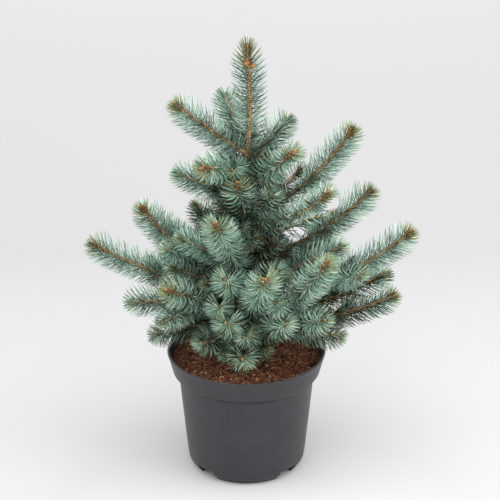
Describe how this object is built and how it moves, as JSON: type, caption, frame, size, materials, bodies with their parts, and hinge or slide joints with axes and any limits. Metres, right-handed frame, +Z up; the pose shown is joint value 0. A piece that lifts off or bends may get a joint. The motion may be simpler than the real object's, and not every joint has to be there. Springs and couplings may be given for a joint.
{
  "type": "potted blue spruce",
  "caption": "Young blue spruce with a pointed leader and whorls of upswept needle shoots, growing in a round nursery container filled with soil.",
  "frame": {"origin": "middle of the container's flat underside", "axes": "+Z up along the container's axis and the trunk, -Y towards the side that the plant is seen from, +X to the right of it"},
  "size_m": [0.388, 0.2881, 0.536],
  "materials": {
    "pot": "smooth dark grey moulded plastic with a soft satin sheen",
    "soil": "coarse reddish brown peat and bark potting soil, slightly moist",
    "bark": "thin tan to brown bark with small pegs where needles have dropped",
    "needles": "stiff blue-green needles with a pale waxy bloom"
  },
  "bodies": {
    "root": {"pot": "pot", "soil": "soil", "trunk": "bark", "bough_shoulder_right": "bark", "bough_shoulder_front_right": "bark", "bough_shoulder_back": "bark", "bough_middle_front_right": "bark", "bough_middle_right": "bark", "bough_middle_left": "bark", "bough_long_right": "bark", "bough_long_left": "bark", "bough_middle_back_right": "bark", "bough_middle_back": "bark", "bough_middle_back_left": "bark", "bough_low_right": "bark", "bough_low_back_right": "bark", "bough_low_back": "bark", "needles_leader": "needles", "needles_top_left": "needles", "needles_top_back_left": "needles", "needles_top_back_right": "needles", "needles_top_front_right": "needles", "needles_top_front_left": "needles", "needles_upper_front": "needles", "needles_upper_left": "needles", "needles_upper_front_right": "needles", "needles_upper_back": "needles", "needles_upper_back_left": "needles", "needles_upper_back_right": "needles", "needles_shoulder_right": "needles", "needles_shoulder_front_right": "needles", "needles_shoulder_back_right": "needles", "needles_shoulder_front_left": "needles", "needles_shoulder_back": "needles", "needles_shoulder_back_left": "needles", "needles_middle_right": "needles", "needles_middle_left": "needles", "needles_inner_front_left": "needles", "needles_middle_front_right": "needles", "needles_long_right": "needles", "needles_long_left": "needles", "needles_middle_front_left": "needles", "needles_middle_front": "needles", "needles_middle_back_right": "needles", "needles_middle_back": "needles", "needles_middle_back_left": "needles", "needles_inner_front_right": "needles", "needles_inner_right": "needles", "needles_inner_left": "needles", "needles_inner_front": "needles", "needles_low_right": "needles", "needles_low_side_left": "needles", "needles_low_side_right": "needles", "needles_low_front_right": "needles", "needles_low_front": "needles", "needles_low_front_left": "needles", "needles_low_left": "needles", "needles_low_back_right": "needles", "needles_low_back": "needles", "needles_lowest_front": "needles"}
  },
  "joints": []
}
